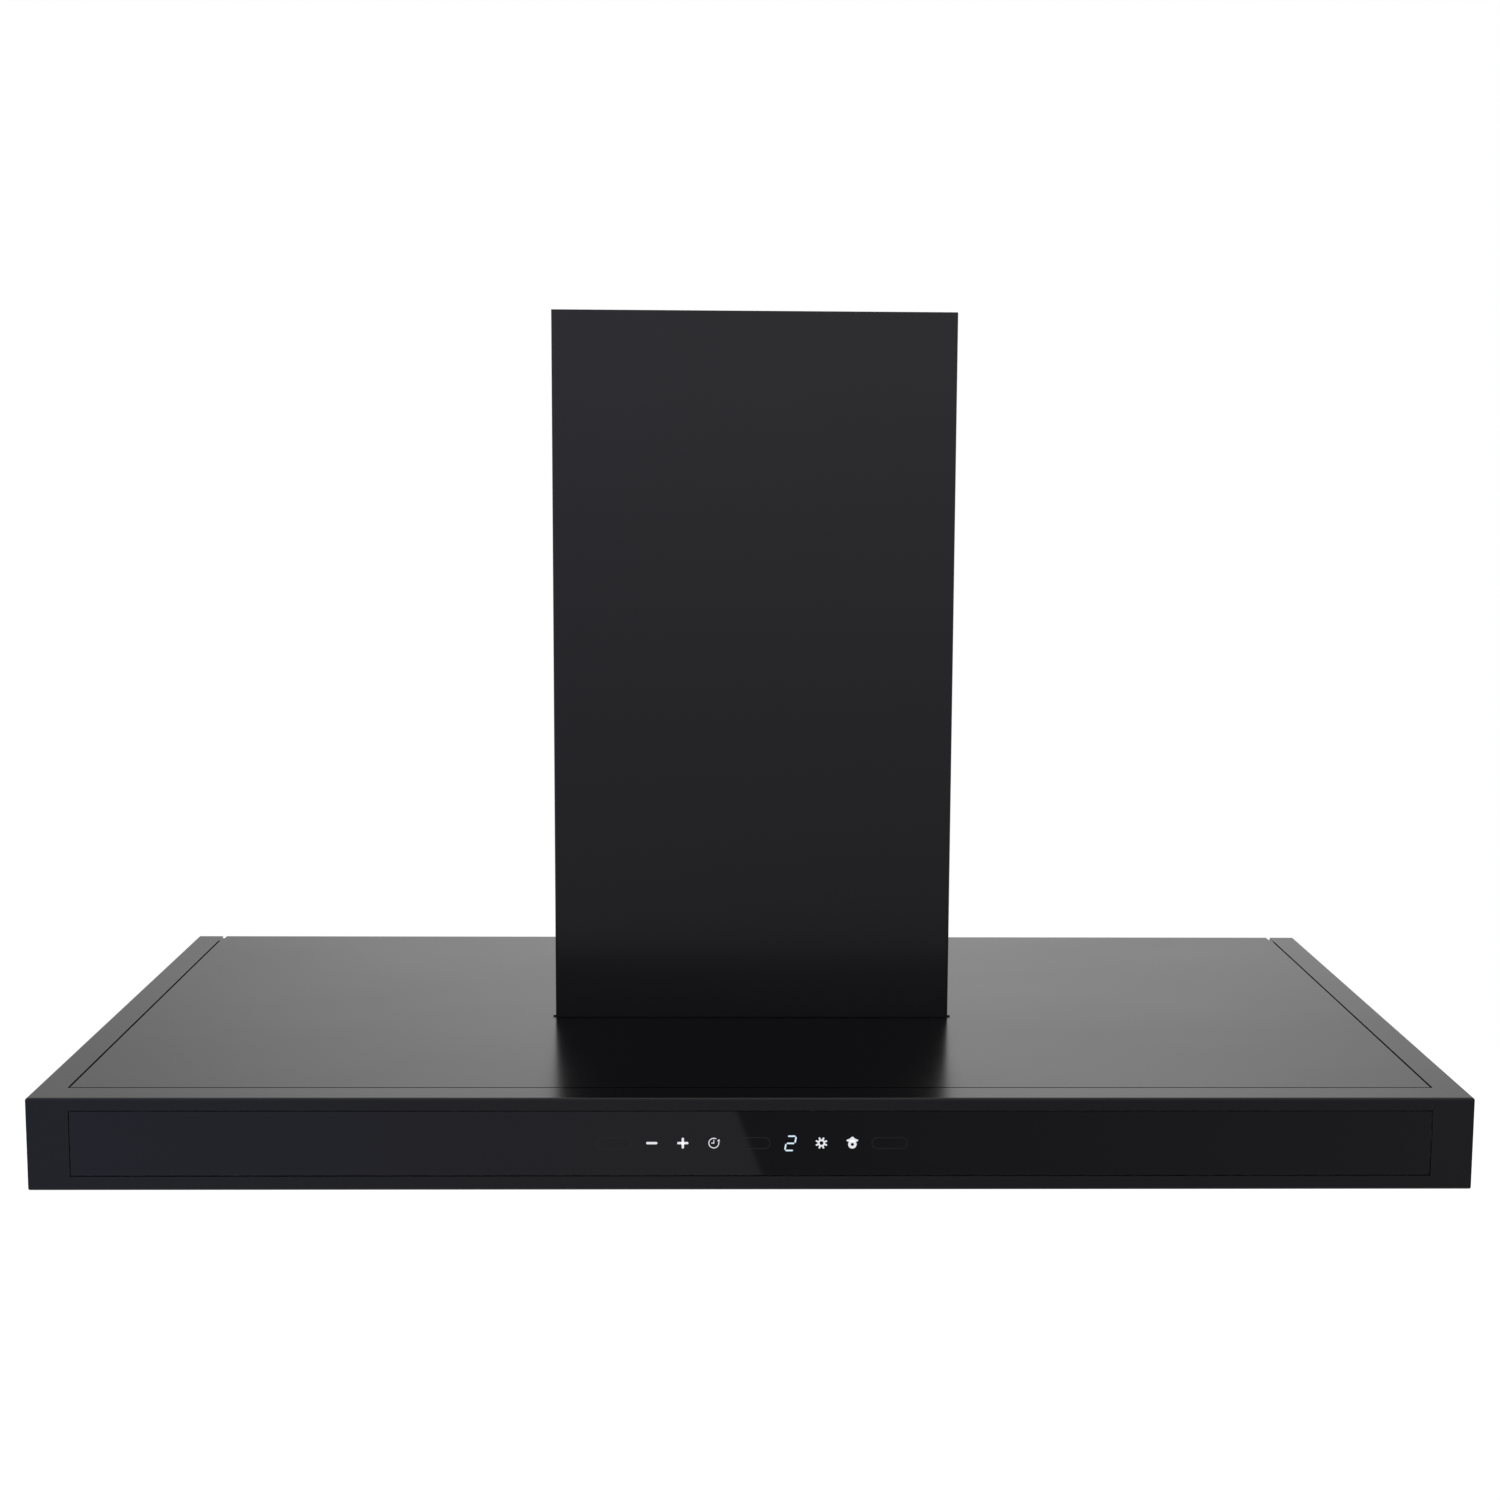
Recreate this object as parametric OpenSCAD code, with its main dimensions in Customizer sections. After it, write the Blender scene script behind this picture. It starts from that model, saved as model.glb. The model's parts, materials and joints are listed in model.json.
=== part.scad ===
// Chimney range hood, 36 inch class: a low box canopy with a telescoping chimney flush with its rear.
// The front faces -Y, the wall is the plane y = 0, +Z is up and z = 0 is half way up the canopy.

/* [Canopy] */
// Width of the canopy across its two ends
canopy_w = 915; // [600:1:1200]
// Depth of the canopy from its front face to the wall
canopy_d = 500; // [450:1:600]
// Height of the canopy body
canopy_h = 60; // [56:1:90]
// Thickness of the folded steel sheet
sheet_t = 1.2; // [0.8:0.1:1.5]
// Radius of the folds at the two ends
end_bend_r = 1.5; // [1.4:0.1:4]
// Radius of the folds along the front
front_bend_r = 1.4; // [1.3:0.1:3]
// Width of the rail left along each end of the top
side_rail_w = 19.9; // [15:0.1:40]
// Depth of the rail left along the front of the top
front_rail_d = 24.5; // [20:0.1:40]
// Width of the seam round the inset panels
seam_w = 1.4; // [0.5:0.1:2]
// Width of the ledge the inset panels rest on
ledge_w = 10; // [8:0.5:15]
// How far the edge of the top panel is folded down
top_fold = 6; // [4:0.5:8]

/* [Front glass] */
// Margin of glass opening from each end of the front
glass_end_margin = 26.3; // [15:0.1:60]
// Margin of glass opening from the top edge
glass_top_margin = 8; // [5:0.1:15]
// Margin of glass opening from the bottom edge
glass_bottom_margin = 9; // [5:0.1:15]
// Gap between the glass and its opening
glass_gap = 0.8; // [0.4:0.1:2]
// Thickness of the toughened glass
glass_t = 4; // [3:0.5:6]
// How far the glass face sits behind the steel face
glass_recess = 0.2; // [0.1:0.1:1]

/* [Touch control] */
// Length of the touch board
board_w = 226; // [180:1:300]
// Height of the touch board
board_h = 30; // [24:1:34]
// Thickness of every circuit board
board_t = 1.6; // [1:0.1:2]
// Centre of the digit display, to the right of the middle
display_x = 22.6; // [10:0.1:40]
// Side of the square display module
display_s = 16; // [12:0.5:20]
// Depth of the display module behind the glass
display_d = 9; // [6:0.5:12]

/* [Filters] */
// Half width of the bay the two filters hang in
bay_half_w = 322; // [250:1:380]
// Front edge of the filter bay
bay_front_y = -395; // [-400:1:-300]
// Rear edge of the filter bay
bay_rear_y = -62; // [-90:1:-50]
// Height of the upstand round the bay
bay_wall_h = 14; // [12:0.5:18]
// Half width of the bar between the filters
bar_half_w = 4; // [3:0.5:8]
// Clearance round each filter
filter_gap = 1; // [0.6:0.1:2]
// Thickness of a filter
filter_t = 9; // [8:0.5:12]
// Width of the filter rim
rim_w = 12; // [8:0.5:16]
// Depth of the plate that carries the handle
handle_plate_d = 50; // [44:1:60]
// Width of one baffle
baffle_w = 22; // [16:0.5:26]
// Spacing from one baffle to the next in the same layer
baffle_pitch = 34; // [26:1:40]
// Radius of the filter hinge pins
filter_pin_r = 2; // [1.5:0.1:3]
// Half width of the handle cup
cup_half_w = 40; // [30:1:50]
// Radius of the handle wire
handle_r = 1.6; // [1.2:0.1:2]

/* [Lamps] */
// Distance of each lamp from the middle
lamp_x = 300; // [200:1:380]
// Depth position of the lamps
lamp_y = -434; // [-440:1:-430]
// Radius of the lamp barrel
lamp_r = 26.5; // [20:0.5:28]
// Radius of the lamp bezel
bezel_r = 29.5; // [28:0.5:32]
// Height of the lamp barrel above the panel
lamp_h = 18; // [12:1:24]

/* [Chimney] */
// Width of the lower chimney cover
chimney_w = 282; // [250:1:330]
// Depth of the lower chimney cover
chimney_d = 283; // [270:1:330]
// Height of the lower chimney cover above the canopy
chimney_h = 500; // [400:1:700]
// Gap between the two covers as they slide
cover_gap = 0.7; // [0.5:0.1:1.5]
// Height of the upper chimney cover
upper_cover_h = 480; // [380:1:480]
// Width of the fold along the rear of each cover
return_w = 15; // [10:1:25]
// Radius of the chimney corners
chimney_bend_r = 2; // [1.5:0.1:4]
// How far the base frame shows at each side
base_lip = 1.8; // [1:0.1:4]

/* [Blower] */
// Half width of the blower box
box_half_w = 125; // [120:1:128]
// Front face of the blower box
box_front_y = -268; // [-270:1:-262]
// Rear face of the blower box
box_rear_y = -12; // [-16:1:-10]
// Height of the blower box
box_h = 230; // [225:1:250]
// Radius of the scroll
scroll_r = 88; // [84:0.5:90]
// Half width of the scroll
scroll_half_w = 62; // [56:1:66]
// Radius of the fan wheel
wheel_r = 62; // [50:0.5:64]
// Half width of the fan wheel
wheel_half_w = 50; // [40:1:52]
// Number of blades on the wheel
blades = 32; // [16:1:40]
// Radius of the motor
motor_r = 38; // [30:0.5:40]
// Radius of the fan shaft
shaft_r = 4; // [3:0.1:5]
// Outside radius of the duct collar
collar_r = 75; // [60:0.5:76]
// Height of the duct collar
collar_h = 45; // [35:1:60]
// Radius of the pin the damper flaps swing on
damper_pin_r = 1.5; // [1:0.1:2]

/* [Wall fixing] */
// Distance of each wall fixing hole from the middle
wall_hole_x = 300; // [150:1:400]
// Radius of the wall fixing holes
wall_hole_r = 4; // [3:0.1:6]

/* [Hidden] */
$fn = 64;
over = 1;
steel_black = [0.09, 0.09, 0.1];
steel_bright = [0.72, 0.73, 0.74];
zinc = [0.6, 0.61, 0.62];
plastic_dark = [0.15, 0.15, 0.16];
board_green = [0.05, 0.3, 0.16];

half_w = canopy_w / 2;
top_z = canopy_h / 2;
inner_z = top_z - sheet_t;
open_half_w = half_w - side_rail_w;
open_front_y = -(canopy_d - front_rail_d);
panel_half_w = open_half_w - seam_w;
panel_front_y = open_front_y + seam_w;

glass_half_w = half_w - glass_end_margin - glass_gap;
glass_z0 = -top_z + glass_bottom_margin + glass_gap;
glass_z1 = top_z - glass_top_margin - glass_gap;
glass_y0 = -canopy_d + glass_recess;
glass_y1 = glass_y0 + glass_t;
board_z = (glass_z0 + glass_z1) / 2;

lamp_wall_t = 1.5;
lamp_roof_z = -inner_z + lamp_h - lamp_wall_t;
diode_s = 4;
diode_ring_r = 14;
running = 0.06;
filter_x0 = -(bay_half_w - filter_gap);
filter_x1 = -(bar_half_w + filter_gap);
filter_mid_x = (filter_x0 + filter_x1) / 2;
filter_y0 = bay_front_y + filter_gap;
filter_y1 = bay_rear_y - 4 * filter_gap;
filter_z0 = -top_z + 0.5;
filter_z1 = filter_z0 + filter_t;
filter_t_sheet = 1;
baffle_h = 3;
pin_wall_l = 3.5;
pin_bar_l = 2.8;
filter_pin_y = filter_y1 - 4;
filter_pin_z = (filter_z0 + filter_z1) / 2;
cup_y0 = filter_y0 + 4;
cup_y1 = filter_y0 + handle_plate_d - 8;
cup_z0 = filter_z0 + filter_t_sheet;
cup_z1 = cup_z0 + 6;
handle_y1 = cup_y1 - 5;
handle_y0 = cup_y0 + 5;
handle_half_w = cup_half_w - 6;
handle_z = cup_z0 + 2.5;
handle_pivot_half_l = 2.85;

chimney_half_w = chimney_w / 2;
trim_t = 1;
box_top_z = top_z + box_h;
box_t = 1;
flange_w = 8;
scroll_t = 1.5;
scroll_y = -170;
scroll_z = top_z + 105;
wheel_y = scroll_y + 6;
wheel_z = scroll_z + 6;
outlet_y0 = scroll_y - 20;
outlet_y1 = scroll_y + scroll_r;
air_half_w = 118;
air_front_y = -255;
air_rear_y = -20;
inlet_r = 50;
blade_in_r = wheel_r - 12;
motor_x0 = -92;
motor_x1 = -22;
bracket_x = -80;
pillar_at_r = 64;
grommet_t = 3;
collar_y = (outlet_y0 + outlet_y1) / 2;
collar_t = 1.5;
damper_z = box_top_z + 25;
flap_r = collar_r - collar_t - 1.3;
knuckle_r = 3;
power_x0 = 83;
power_x1 = 122;
power_y0 = -250;
power_y1 = -60;
power_h = 40;
power_t = 2;
gland_y = -80;
gland_r = 8;
gland_nut_r = 11;
cable_r = 4;
standoff_h = 5;
capacitor_x = -108.5;
capacitor_y = -40;
capacitor_r = 14;
capacitor_z0 = box_top_z - 80;
capacitor_z1 = box_top_z - 25;
clip_z0 = box_top_z - 60;
clip_z1 = box_top_z - 48;
clip_t = 1.5;
hook_t = 3;
rear_flange_d = 5;
notch_w = 1.8;
notch_d = 8;
notch_h = 2.5;
hook_half_w = 30;
hook_half_h = 20;
hook_foot_y = -22;
level_x = wall_hole_x + 16;
level_y = -14;
level_z0 = -26;
level_z1 = 8;
carrier_rim = 10;
carrier_drop = 4;
housing_rim = 6;
housing_t = 2;
housing_d = 14;
connector_x0 = board_w / 2 - 30;
connector_x1 = board_w / 2 - 10;
connector_half_h = 6;
clip_x = 90;
clip_half_w = 8;
leaf_t = 0.5;
leaf_reach = 5;
lamp_clip_half_w = 5;
lamp_clip_foot = 6;
lamp_clip_h = 10;
lamp_clip_t = 1;
hub_r = 10;
hub_x0 = -14;
hub_x1 = 8;
blade_l = 11;
blade_t = 0.8;
blade_turn = 32;
wheel_rim_t = 3;
web_t = 2;
nut_t = 5;
nut_r = 7.5;
ring_lip_w = 6;
ring_t = 2;
collar_foot = 4;
stop_w = 3;
flap_t = 1;
knuckle_l = 20;
knuckle_xs = [-25, 35];
terminal_y0 = power_y1 - 44;
terminal_y1 = power_y1 - 30;
terminal_h = 14;
terminal_pitch = 7.5;
panel_screw_x = open_half_w - ledge_w / 2;
panel_screw_ys = [-430, -250, -60];
panel_screw_l = 8;
screw_head_t = 1.5;
screw_r = 2;
hole_r = 2.2;
level_r = 3;
upper_half_w = chimney_half_w - sheet_t - cover_gap;
upper_y0 = -chimney_d + sheet_t + cover_gap;
upper_y1 = -sheet_t - cover_gap;
upper_z1 = top_z + chimney_h - 4;
upper_t = 1;
bracket_d = 40;
bracket_z0 = upper_z1 - 30;
bracket_z1 = upper_z1 - 4;
bracket_t = 1.5;
bracket_hole_x = 60;
bracket_hole_r = 3;
arm_angles = [90, 210, 330];
pillar_r = 5;
grommet_r = 6.5;
grommet_hole_r = 2.5;

// A box given by its two corners.
module block(x0, x1, y0, y1, z0, z1) {
  translate([x0, y0, z0]) cube([x1 - x0, y1 - y0, z1 - z0]);
}

// A round bar along X.
module rod_x(r, x0, x1, y, z) {
  translate([x0, y, z]) rotate([0, 90, 0]) cylinder(r = r, h = x1 - x0);
}

// A round bar along Y.
module rod_y(r, x, y0, y1, z) {
  translate([x, y1, z]) rotate([90, 0, 0]) cylinder(r = r, h = y1 - y0);
}

// A round bar along Z.
module rod_z(r, x, y, z0, z1) {
  translate([x, y, z0]) cylinder(r = r, h = z1 - z0);
}

// The child and its mirror image across the middle of the hood.
module both_ends() {
  children();
  mirror([1, 0, 0]) children();
}

// A flat rectangle with rounded corners, centred.
module rounded_rect(w, h, r) {
  square([w - 2 * r, h], center = true);
  square([w, h - 2 * r], center = true);
  for (sx = [-1, 1])
    for (sy = [-1, 1])
      translate([sx * (w / 2 - r), sy * (h / 2 - r)]) circle(r = r);
}

// The closed outline of the canopy, with all its folds rounded.
module canopy_outline() {
  intersection() {
    rotate([90, 0, 0])
      linear_extrude(height = canopy_d) rounded_rect(canopy_w, canopy_h, end_bend_r);
    rotate([90, 0, 90])
      linear_extrude(height = canopy_w, center = true)
        translate([front_bend_r - canopy_d / 2, 0])
          rounded_rect(canopy_d + 2 * front_bend_r, canopy_h, front_bend_r);
  }
}

// A strip on three sides of a panel opening, open toward the wall, from out_w outside to in_w inside it.
module opening_strip(out_w, in_w, z0, z1) {
  difference() {
    block(-open_half_w - out_w, open_half_w + out_w, open_front_y - out_w, -sheet_t, z0, z1);
    block(-open_half_w + in_w, open_half_w - in_w, open_front_y + in_w, over, z0 - over, z1 + over);
  }
}

// The folded edge round the top opening, with the ledge at its foot.
module top_ledge() {
  opening_strip(sheet_t, 0, inner_z - top_fold - sheet_t, inner_z + sheet_t / 2);
  opening_strip(sheet_t, ledge_w, inner_z - top_fold - sheet_t, inner_z - top_fold);
}

// A round bar at each screw that holds the underside panel.
module panel_screw_bars(r, z0, z1) {
  both_ends()
    for (y = panel_screw_ys) rod_z(r, panel_screw_x, y, z0, z1);
}

module canopy_shell() {
  color(steel_black) difference() {
    union() {
      difference() {
        canopy_outline();
        block(-half_w + sheet_t, half_w - sheet_t, -canopy_d + sheet_t, over, -inner_z, inner_z);
        block(-open_half_w, open_half_w, open_front_y, over, -canopy_h, canopy_h);
        block(-glass_half_w - glass_gap, glass_half_w + glass_gap, -canopy_d - over,
          -canopy_d + 2 * sheet_t, glass_z0 - glass_gap, glass_z1 + glass_gap);
      }
      top_ledge();
      opening_strip(7, ledge_w, -inner_z, -inner_z + sheet_t);
    }
    panel_screw_bars(hole_r, -inner_z - over, -inner_z + 2 * sheet_t);
  }
}

// The screws that hold the blower box to the top panel.
module blower_screw_places() {
  both_ends()
    for (y = [box_front_y - flange_w / 2, box_rear_y + flange_w / 2])
      translate([box_half_w - 20, y, 0]) children();
}

// The inset top, with its edges folded down and a small relief notch at each rear corner.
module top_panel() {
  color(steel_black) difference() {
    union() {
      block(-panel_half_w, panel_half_w, panel_front_y, 0, inner_z, top_z);
      opening_strip(-seam_w, seam_w + sheet_t, inner_z - top_fold, inner_z + sheet_t / 2);
    }
    block(-air_half_w, air_half_w, air_front_y, air_rear_y, inner_z - over, top_z + over);
    blower_screw_places() rod_z(hole_r, 0, 0, inner_z - over, top_z + over);
    both_ends() block(panel_half_w - notch_w, half_w, -notch_d, over, -top_z, top_z + over);
  }
}

module rear_panel() {
  color(steel_black) difference() {
    union() {
      block(-half_w + sheet_t, half_w - sheet_t, -sheet_t, 0, -inner_z, inner_z);
      block(-open_half_w + 2 * ledge_w, open_half_w - 2 * ledge_w, -rear_flange_d, -sheet_t,
        inner_z - sheet_t, inner_z);
    }
    both_ends() {
      rod_y(wall_hole_r, wall_hole_x, -2 * sheet_t, over, 0);
      block(panel_half_w - notch_w, open_half_w, -2 * sheet_t, over, inner_z - notch_h, top_z);
    }
  }
}

// The plate that spreads the load of one wall screw, with a tab for its levelling screw.
module wall_hook() {
  difference() {
    union() {
      block(wall_hole_x - hook_half_w, wall_hole_x + hook_half_w, -sheet_t - hook_t, -sheet_t,
        -hook_half_h, hook_half_h);
      block(wall_hole_x - hook_half_w, wall_hole_x + hook_half_w, hook_foot_y, -sheet_t,
        -hook_half_h, -hook_half_h + hook_t);
    }
    rod_y(wall_hole_r, wall_hole_x, hook_foot_y, 0, 0);
    rod_z(level_r, level_x, level_y, -hook_half_h - over, -hook_half_h + hook_t + over);
  }
}

module wall_hook_right() {
  color(zinc) wall_hook();
}

module wall_hook_left() {
  color(zinc) mirror([1, 0, 0]) wall_hook();
}

module levelling_screws() {
  color(zinc) both_ends() {
    rod_z(level_r, level_x, level_y, level_z0, level_z1);
    translate([level_x, level_y, -hook_half_h + hook_t]) cylinder(r = 5.8, h = 5, $fn = 6);
  }
}

module underside_panel() {
  color(steel_black) difference() {
    union() {
      block(-panel_half_w, panel_half_w, panel_front_y, -sheet_t, -top_z, -inner_z);
      block(-bay_half_w - sheet_t, bay_half_w + sheet_t, bay_front_y - sheet_t,
        bay_rear_y + sheet_t, -top_z, -top_z + bay_wall_h);
    }
    block(-bay_half_w, bay_half_w, bay_front_y, bay_rear_y, -top_z - over, top_z);
    both_ends() rod_z(lamp_r + 0.5, lamp_x, lamp_y, -top_z - over, 0);
    rod_x(filter_pin_r + running, -half_w, half_w, filter_pin_y, filter_pin_z);
    panel_screw_bars(hole_r, -top_z - over, -inner_z + over);
  }
}

module panel_screws() {
  color(zinc) {
    panel_screw_bars(screw_r, -top_z - screw_head_t / 2, -top_z + panel_screw_l);
    panel_screw_bars(2 * screw_r, -top_z - screw_head_t, -top_z);
  }
}

module filter_centre_bar() {
  color(steel_black) difference() {
    block(-bar_half_w, bar_half_w, bay_front_y, bay_rear_y, -top_z, -top_z + bay_wall_h);
    block(-bar_half_w + 1.5, bar_half_w - 1.5, bay_front_y - over, bay_rear_y + over, -inner_z, top_z);
    rod_x(filter_pin_r + running, -bar_half_w - over, bar_half_w + over, filter_pin_y, filter_pin_z);
  }
}

// Leaf springs on the front wall of the bay that grip the filters as they close.
module filter_spring_clips() {
  color(steel_bright) both_ends()
    for (x = [-filter_mid_x - clip_x, -filter_mid_x + clip_x]) {
      block(x - clip_half_w, x + clip_half_w, bay_front_y, bay_front_y + leaf_t, filter_z0 + 3,
        -top_z + bay_wall_h);
      block(x - clip_half_w, x + clip_half_w, bay_front_y - leaf_reach, bay_front_y + leaf_t,
        -top_z + bay_wall_h, -top_z + bay_wall_h + leaf_t);
    }
}

module glass_panel() {
  color([0.03, 0.03, 0.035])
    block(-glass_half_w, glass_half_w, glass_y0, glass_y1, glass_z0, glass_z1);
}

// A pressed tray behind the glass, open where the touch board shows through.
module glass_carrier() {
  color(zinc) difference() {
    block(-glass_half_w - carrier_rim, glass_half_w + carrier_rim, -canopy_d + sheet_t,
      glass_y1 + sheet_t, glass_z0 - carrier_drop, glass_z1 + carrier_drop);
    block(-glass_half_w - carrier_rim + sheet_t, glass_half_w + carrier_rim - sheet_t,
      -canopy_d - over, glass_y1, glass_z0 - carrier_drop + sheet_t, glass_z1 + carrier_drop - sheet_t);
    block(-board_w / 2, board_w / 2, -canopy_d, glass_y1 + 2 * sheet_t,
      board_z - board_h / 2, board_z + board_h / 2);
  }
}

module touch_board() {
  color(board_green) difference() {
    block(-board_w / 2 + 1, board_w / 2 - 1, glass_y1, glass_y1 + board_t,
      board_z - board_h / 2 + 1, board_z + board_h / 2 - 1);
    block(display_x - display_s / 2, display_x + display_s / 2, glass_y1 - over,
      glass_y1 + 2 * board_t, board_z - display_s / 2, board_z + display_s / 2);
  }
}

module display_module() {
  color([0.2, 0.2, 0.22])
    block(display_x - display_s / 2, display_x + display_s / 2, glass_y1, glass_y1 + display_d,
      board_z - display_s / 2, board_z + display_s / 2);
}

// A tray behind the touch board, with a window for its connector.
module touch_board_housing() {
  y0 = glass_y1 + sheet_t;
  color(plastic_dark) difference() {
    block(-board_w / 2 - housing_rim, board_w / 2 + housing_rim, y0, y0 + housing_d,
      board_z - board_h / 2 - 2 * housing_t, board_z + board_h / 2 + 2 * housing_t);
    block(-board_w / 2 - housing_rim + housing_t, board_w / 2 + housing_rim - housing_t,
      y0 - over, y0 + housing_d - housing_t, board_z - board_h / 2 - housing_t,
      board_z + board_h / 2 + housing_t);
    block(connector_x0, connector_x1, y0, y0 + housing_d + over, board_z - connector_half_h,
      board_z + connector_half_h);
  }
}

// A lamp barrel with its bezel, closed at the top.
module lamp_housing() {
  difference() {
    union() {
      rod_z(lamp_r, lamp_x, lamp_y, -top_z, -inner_z + lamp_h);
      rod_z(bezel_r, lamp_x, lamp_y, -top_z - lamp_wall_t, -top_z);
    }
    rod_z(lamp_r - lamp_wall_t, lamp_x, lamp_y, -top_z - lamp_wall_t - over, lamp_roof_z);
  }
}

module lamp_board() {
  rod_z(lamp_r - 2 * lamp_wall_t, lamp_x, lamp_y, lamp_roof_z - board_t, lamp_roof_z);
  for (a = [0 : 60 : 300])
    translate([lamp_x + diode_ring_r * cos(a), lamp_y + diode_ring_r * sin(a), lamp_roof_z - board_t])
      block(-diode_s / 2, diode_s / 2, -diode_s / 2, diode_s / 2, -1, 0);
}

module lamp_lens() {
  rod_z(lamp_r - lamp_wall_t, lamp_x, lamp_y, -top_z - 1, -top_z + 1.5);
}

module lamp_right_housing() {
  color(steel_bright) lamp_housing();
}

module lamp_left_housing() {
  color(steel_bright) mirror([1, 0, 0]) lamp_housing();
}

module lamp_right_board() {
  color([0.9, 0.9, 0.9]) lamp_board();
}

module lamp_left_board() {
  color([0.9, 0.9, 0.9]) mirror([1, 0, 0]) lamp_board();
}

module lamp_right_lens() {
  color([0.9, 0.92, 0.92]) lamp_lens();
}

module lamp_left_lens() {
  color([0.9, 0.92, 0.92]) mirror([1, 0, 0]) lamp_lens();
}

// Two spring clips a lamp, pressing down on the panel from above.
module lamp_clips() {
  color(steel_bright) both_ends()
    for (s = [-1, 1])
      difference() {
        union() {
          translate([lamp_x + s * (lamp_r - 0.5), lamp_y, -inner_z])
            block(-lamp_clip_foot, lamp_clip_foot, -lamp_clip_half_w, lamp_clip_half_w, 0, lamp_clip_t);
          translate([lamp_x + s * (lamp_r + 0.75), lamp_y, -inner_z])
            block(-0.75, 0.75, -lamp_clip_half_w, lamp_clip_half_w, 0, lamp_clip_h);
        }
        rod_z(lamp_r, lamp_x, lamp_y, -top_z, top_z);
      }
}

// The outline of one chimney cover seen from above: three sides and a fold along each rear edge.
module cover_outline(hw, y0, y1, t, bend_r) {
  difference() {
    union() {
      translate([0, (y0 + y1) / 2]) square([2 * hw, y1 - y0 - 2 * bend_r], center = true);
      translate([-hw, y1 - bend_r]) square([2 * hw, bend_r]);
      translate([-hw + bend_r, y0]) square([2 * hw - 2 * bend_r, bend_r]);
      for (s = [-1, 1]) translate([s * (hw - bend_r), y0 + bend_r]) circle(r = bend_r);
    }
    translate([-hw + t, y0 + t]) square([2 * (hw - t), y1 - y0 - 2 * t]);
    translate([-hw + return_w, y0 + 2 * t]) square([2 * (hw - return_w), y1 - y0]);
  }
}

module lower_chimney_cover() {
  color(steel_black)
    translate([0, 0, top_z + trim_t])
      linear_extrude(height = chimney_h - trim_t)
        cover_outline(chimney_half_w, -chimney_d, 0, sheet_t, chimney_bend_r);
}

// A frame screwed to the canopy top that the chimney stands on and round.
module chimney_base_frame() {
  wall = chimney_half_w - sheet_t;
  color(steel_black) {
    difference() {
      block(-chimney_half_w - base_lip, chimney_half_w + base_lip, -chimney_d + 1.5, 0,
        top_z, top_z + trim_t);
      block(-box_half_w - flange_w - 1, box_half_w + flange_w + 1, box_front_y - flange_w - 1,
        box_rear_y + flange_w + 1, top_z - over, top_z + 2 * trim_t);
    }
    difference() {
      block(-wall, wall, -chimney_d + sheet_t, -sheet_t - 3, top_z + trim_t, top_z + 14);
      block(-wall + sheet_t, wall - sheet_t, -chimney_d + 2 * sheet_t, over, top_z, top_z + 15);
    }
  }
}

module upper_chimney_cover() {
  color(steel_black)
    translate([0, 0, upper_z1 - upper_cover_h])
      linear_extrude(height = upper_cover_h)
        cover_outline(upper_half_w, upper_y0, upper_y1, upper_t, chimney_bend_r);
}

// A U of strip inside the top of the upper cover, with the holes for its wall screws.
module upper_chimney_bracket() {
  inside = upper_half_w - upper_t;
  color(zinc) difference() {
    block(-inside, inside, upper_y1 - bracket_d, upper_y1 - upper_t, bracket_z0, bracket_z1);
    block(-inside + bracket_t, inside - bracket_t, upper_y1 - bracket_d - over,
      upper_y1 - upper_t - bracket_t, bracket_z0 - over, bracket_z1 + over);
    both_ends() rod_y(bracket_hole_r, bracket_hole_x, -10, 0, (bracket_z0 + bracket_z1) / 2);
  }
}

module blower_box() {
  color(steel_bright) difference() {
    union() {
      block(-box_half_w, box_half_w, box_front_y, box_rear_y, top_z, box_top_z);
      block(-box_half_w - flange_w, box_half_w + flange_w, box_front_y - flange_w,
        box_rear_y + flange_w, top_z, top_z + box_t);
    }
    block(-box_half_w + box_t, box_half_w - box_t, box_front_y + box_t, box_rear_y - box_t,
      top_z - over, box_top_z - box_t);
    block(-scroll_half_w + scroll_t, scroll_half_w - scroll_t, outlet_y0 + scroll_t,
      outlet_y1 - scroll_t, top_z, box_top_z + over);
    blower_screw_places() rod_z(hole_r, 0, 0, top_z - over, top_z + 2 * box_t);
  }
}

module blower_screws() {
  color(zinc) blower_screw_places() {
    rod_z(screw_r, 0, 0, inner_z - 4, top_z + box_t);
    rod_z(1.75 * screw_r, 0, 0, top_z + box_t, top_z + box_t + 2);
  }
}

// The side view of the scroll, drawn in the Y-Z plane; a larger inset gives its inside.
module scroll_outline(inset, rise) {
  translate([scroll_y, scroll_z]) circle(r = scroll_r - inset);
  translate([outlet_y0 + inset, scroll_z])
    square([outlet_y1 - outlet_y0 - 2 * inset, box_top_z - box_t - scroll_z + rise]);
}

module scroll_housing() {
  roof = box_top_z - box_t;
  color([0.55, 0.56, 0.58]) difference() {
    union() {
      rotate([90, 0, 90])
        linear_extrude(height = 2 * scroll_half_w, center = true) scroll_outline(0, 0);
      block(-scroll_half_w - 8, scroll_half_w + 8, outlet_y0 - 8, outlet_y1 + 8, roof - scroll_t, roof);
    }
    rotate([90, 0, 90])
      linear_extrude(height = 2 * (scroll_half_w - scroll_t), center = true)
        scroll_outline(scroll_t, over);
    rod_x(inlet_r, -scroll_half_w - over, scroll_half_w + over, wheel_y, wheel_z);
  }
}

// A rounded bell mouth round one inlet of the scroll.
module inlet_ring() {
  translate([scroll_half_w, wheel_y, wheel_z]) rotate([0, 90, 0])
    rotate_extrude() {
      translate([inlet_r, 0]) square([ring_lip_w, ring_t]);
      translate([inlet_r - ring_t, -ring_lip_w]) square([ring_t, ring_lip_w + ring_t]);
      translate([inlet_r, ring_t]) circle(r = ring_t);
    }
}

module inlet_ring_right() {
  color(plastic_dark) inlet_ring();
}

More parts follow.
